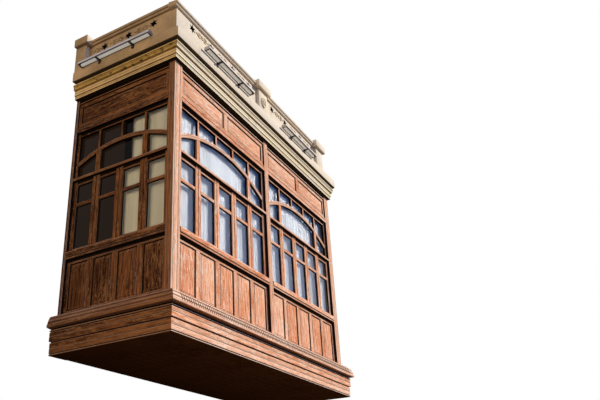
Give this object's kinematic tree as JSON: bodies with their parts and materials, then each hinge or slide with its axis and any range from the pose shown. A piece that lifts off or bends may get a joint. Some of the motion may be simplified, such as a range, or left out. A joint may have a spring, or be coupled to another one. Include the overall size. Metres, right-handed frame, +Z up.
{
  "type": "projecting timber window bay",
  "caption": "Glazed timber oriel bay held on a wall, with panelled base, casements under arched fanlights, frieze panels, plaster cornice and pierced parapet.",
  "frame": {"origin": "on the wall plane, at the centre of the wall ledger's back face", "axes": "+X along the front to the right seen from outside, +Y into the wall, +Z up"},
  "size_m": [5.282, 1.962, 4.721],
  "materials": {
    "stained_timber": "weathered red-brown stain with worn pale edges",
    "painted_cornice": "pale yellow paint on plaster mouldings, peeling on the shaded side",
    "lime_plaster": "cream painted plaster, lightly stained",
    "window_glass": "clear float",
    "curtain_cloth": "sheer weave",
    "light_housing": "satin grey-brown enamel"
  },
  "bodies": {
    "root": {"base_moulding_front": "stained_timber", "base_moulding_left": "stained_timber", "base_moulding_right": "stained_timber", "casements_front_left": "stained_timber", "casements_front_right": "stained_timber", "casements_left": "stained_timber", "casements_right": "stained_timber", "coping_front": "lime_plaster", "coping_left": "lime_plaster", "coping_right": "lime_plaster", "corner_post_left": "stained_timber", "corner_post_right": "stained_timber", "cornice_front": "painted_cornice", "cornice_left": "painted_cornice", "cornice_right": "painted_cornice", "curtain_front_left": "curtain_cloth", "curtain_front_right": "curtain_cloth", "curtain_left": "curtain_cloth", "curtain_right": "curtain_cloth", "fanlight_front_left": "stained_timber", "fanlight_front_right": "stained_timber", "fanlight_left": "stained_timber", "fanlight_right": "stained_timber", "floor_deck": "stained_timber", "frieze_front": "stained_timber", "frieze_left": "stained_timber", "frieze_right": "stained_timber", "glazing_front": "window_glass", "glazing_left": "window_glass", "glazing_right": "window_glass", "light_bar_left": "light_housing", "light_bar_right": "light_housing", "light_bars_front": "light_housing", "mid_post": "stained_timber", "panelling_front": "stained_timber", "panelling_left": "stained_timber", "panelling_right": "stained_timber", "parapet_front": "lime_plaster", "parapet_left": "lime_plaster", "parapet_right": "lime_plaster", "rails_front": "stained_timber", "rails_left": "stained_timber", "rails_right": "stained_timber", "roof_slab": "lime_plaster", "soffit": "stained_timber", "wall_ledger": "stained_timber", "wall_post_left": "stained_timber", "wall_post_right": "stained_timber"}
  },
  "joints": []
}
